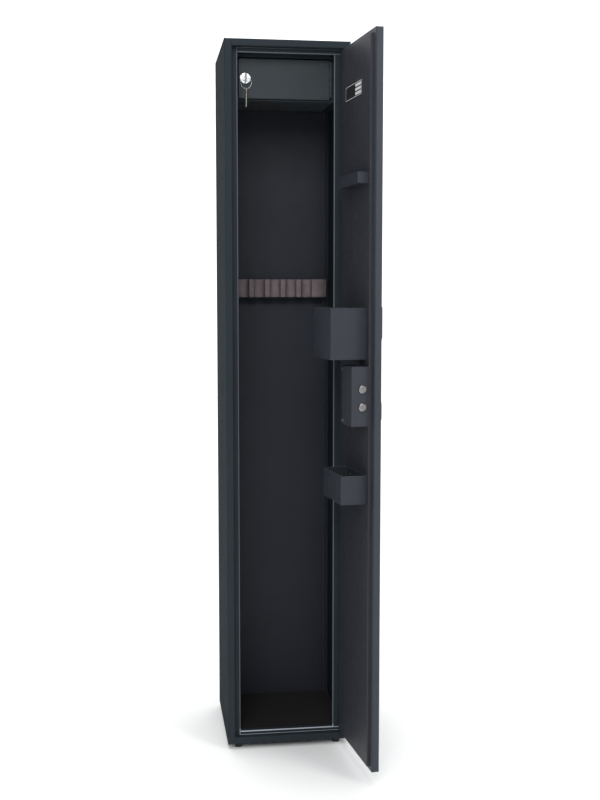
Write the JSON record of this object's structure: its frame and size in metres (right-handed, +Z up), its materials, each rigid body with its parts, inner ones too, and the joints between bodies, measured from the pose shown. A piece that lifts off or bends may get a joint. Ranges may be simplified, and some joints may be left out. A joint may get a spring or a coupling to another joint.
{
  "type": "gun safe",
  "caption": "Tall narrow steel gun cabinet with an inset swinging door, a lockable ammunition compartment above a shelf, a notched foam barrel rest, door trays and a bolt lock.",
  "frame": {"origin": "centre of the four floor anchor holes, on the underside of the bottom panel", "axes": "+Z up along the cabinet's height, -Y out of the open front, +X towards the door hinges as seen from the front"},
  "size_m": [0.2998, 0.5025, 1.512],
  "materials": {
    "body_paint": "dark grey powder coat",
    "mat_fabric": "thin felt",
    "foot_rubber": "moulded rubber",
    "zinc_steel": "bright zinc plate",
    "small_hinge_steel": "powder coat over rolled steel",
    "rest_foam": "soft closed-cell foam, light",
    "ammo_door_paint": "dark grey powder coat",
    "lock_chrome": "bright chrome plate",
    "key_steel": "nickel-plated key blank",
    "ring_steel": "spring wire",
    "door_paint": "dark grey powder coat",
    "cover_paint": "dark grey powder coat",
    "bush_brass": "turned",
    "plate_black": "printed plate",
    "tray_paint": "dark grey powder coat",
    "case_paint": "dark grey powder coat",
    "bolt_chrome": "bright chrome plate",
    "knob_black": "satin black",
    "solenoid_shell": "plated steel",
    "keypad_plastic": "fine texture",
    "key_rubber": "silicone",
    "lens_plastic": "tinted"
  },
  "bodies": {
    "cabinet": {"left_side_panel": "body_paint", "right_side_panel": "body_paint", "hinge_side_stop": "body_paint", "top_panel": "body_paint", "bottom_panel": "body_paint", "back_panel": "body_paint", "floor_tray": "body_paint", "floor_mat": "mat_fabric", "feet": "foot_rubber", "foot_screws": "zinc_steel", "hinge_plates": "body_paint", "hinge_pins": "zinc_steel", "bolt_keeper": "body_paint", "shelf": "body_paint", "inner_brackets": "body_paint", "ammo_frame": "body_paint", "ammo_hinge_frame_leaf": "small_hinge_steel", "barrel_rest": "rest_foam"},
    "ammo_door": {"ammo_door_pan": "ammo_door_paint", "ammo_hinge_door_leaf": "small_hinge_steel", "cam_lock_body": "lock_chrome", "cam_lock_nut": "zinc_steel"},
    "cam_lock": {"cam_lock_plug": "lock_chrome", "lock_cam": "zinc_steel", "key": "key_steel"},
    "ring": {"key_ring": "ring_steel"},
    "hung_key": {"spare_key": "key_steel"},
    "door": {"door_outer_shell": "door_paint", "door_inner_cover": "cover_paint", "door_stiffener": "door_paint", "hinge_bushes": "bush_brass", "data_plate": "plate_black", "rod_clip_tray": "tray_paint", "deep_box": "tray_paint", "low_tray": "tray_paint", "door_fasteners": "zinc_steel", "lock_case": "case_paint", "lock_plate": "zinc_steel", "bolt_guide": "zinc_steel", "knob_plate": "knob_black", "solenoid": "solenoid_shell", "keypad_housing": "keypad_plastic", "keypad_lenses": "lens_plastic"},
    "bolt_work": {"bolts": "bolt_chrome", "bolt_carriage": "zinc_steel", "carriage_screws": "zinc_steel"},
    "knob_spindle": {"crank": "zinc_steel", "knob": "knob_black"},
    "key_1_cap": {"key_1": "key_rubber"},
    "key_2_cap": {"key_2": "key_rubber"},
    "key_3_cap": {"key_3": "key_rubber"},
    "key_4_cap": {"key_4": "key_rubber"},
    "key_5_cap": {"key_5": "key_rubber"},
    "key_6_cap": {"key_6": "key_rubber"},
    "key_7_cap": {"key_7": "key_rubber"},
    "key_8_cap": {"key_8": "key_rubber"},
    "key_9_cap": {"key_9": "key_rubber"},
    "key_star_cap": {"key_star": "key_rubber"},
    "key_0_cap": {"key_0": "key_rubber"},
    "key_hash_cap": {"key_hash": "key_rubber"}
  },
  "joints": [
    {"name": "door_swing", "type": "hinge", "parent": "cabinet", "child": "door", "pos_m": [0.121, -0.1295, 0.75], "axis": [0, 0, 1], "range_deg": [-96.5, 4]},
    {"name": "ammo_door_swing", "type": "hinge", "parent": "cabinet", "child": "ammo_door", "pos_m": [0.098, -0.089, 1.4285], "axis": [0, 0, 1], "range_deg": [0, 78]},
    {"name": "key_turn", "type": "hinge", "parent": "ammo_door", "child": "cam_lock", "pos_m": [-0.084, -0.0855, 1.4285], "axis": [0, -1, 0], "range_deg": [0, 90]},
    {"name": "key_ring_swing", "type": "hinge", "parent": "cam_lock", "child": "ring", "pos_m": [-0.084, -0.103, 1.4285], "axis": [1, 0, 0], "range_deg": [-4, 8]},
    {"name": "spare_key_swing", "type": "hinge", "parent": "ring", "child": "hung_key", "pos_m": [-0.084, -0.103, 1.4025], "axis": [1, 0, 0], "range_deg": [-4, 3]},
    {"name": "knob_turn", "type": "hinge", "parent": "door", "child": "knob_spindle", "pos_m": [0.16095, -0.29907, 0.742], "axis": [0.9936, 0.1132, 0], "range_deg": [0, 90]},
    {"name": "bolt_throw", "type": "slide", "parent": "door", "child": "bolt_work", "axis": [0.1132, -0.9936, 0], "range_m": [0, 0.017]},
    {"name": "press_1", "type": "slide", "parent": "door", "child": "key_1_cap", "axis": [-0.9936, -0.1132, 0], "range_m": [0, 0.0012], "stiffness_N_per_m": 400},
    {"name": "press_2", "type": "slide", "parent": "door", "child": "key_2_cap", "axis": [-0.9936, -0.1132, 0], "range_m": [0, 0.0012], "stiffness_N_per_m": 400},
    {"name": "press_3", "type": "slide", "parent": "door", "child": "key_3_cap", "axis": [-0.9936, -0.1132, 0], "range_m": [0, 0.0012], "stiffness_N_per_m": 400},
    {"name": "press_4", "type": "slide", "parent": "door", "child": "key_4_cap", "axis": [-0.9936, -0.1132, 0], "range_m": [0, 0.0012], "stiffness_N_per_m": 400},
    {"name": "press_5", "type": "slide", "parent": "door", "child": "key_5_cap", "axis": [-0.9936, -0.1132, 0], "range_m": [0, 0.0012], "stiffness_N_per_m": 400},
    {"name": "press_6", "type": "slide", "parent": "door", "child": "key_6_cap", "axis": [-0.9936, -0.1132, 0], "range_m": [0, 0.0012], "stiffness_N_per_m": 400},
    {"name": "press_7", "type": "slide", "parent": "door", "child": "key_7_cap", "axis": [-0.9936, -0.1132, 0], "range_m": [0, 0.0012], "stiffness_N_per_m": 400},
    {"name": "press_8", "type": "slide", "parent": "door", "child": "key_8_cap", "axis": [-0.9936, -0.1132, 0], "range_m": [0, 0.0012], "stiffness_N_per_m": 400},
    {"name": "press_9", "type": "slide", "parent": "door", "child": "key_9_cap", "axis": [-0.9936, -0.1132, 0], "range_m": [0, 0.0012], "stiffness_N_per_m": 400},
    {"name": "press_star", "type": "slide", "parent": "door", "child": "key_star_cap", "axis": [-0.9936, -0.1132, 0], "range_m": [0, 0.0012], "stiffness_N_per_m": 400},
    {"name": "press_0", "type": "slide", "parent": "door", "child": "key_0_cap", "axis": [-0.9936, -0.1132, 0], "range_m": [0, 0.0012], "stiffness_N_per_m": 400},
    {"name": "press_hash", "type": "slide", "parent": "door", "child": "key_hash_cap", "axis": [-0.9936, -0.1132, 0], "range_m": [0, 0.0012], "stiffness_N_per_m": 400}
  ],
  "couplings": [
    {"joint": "knob_turn", "follows": "bolt_throw", "rad_per_m": 92.39}
  ]
}
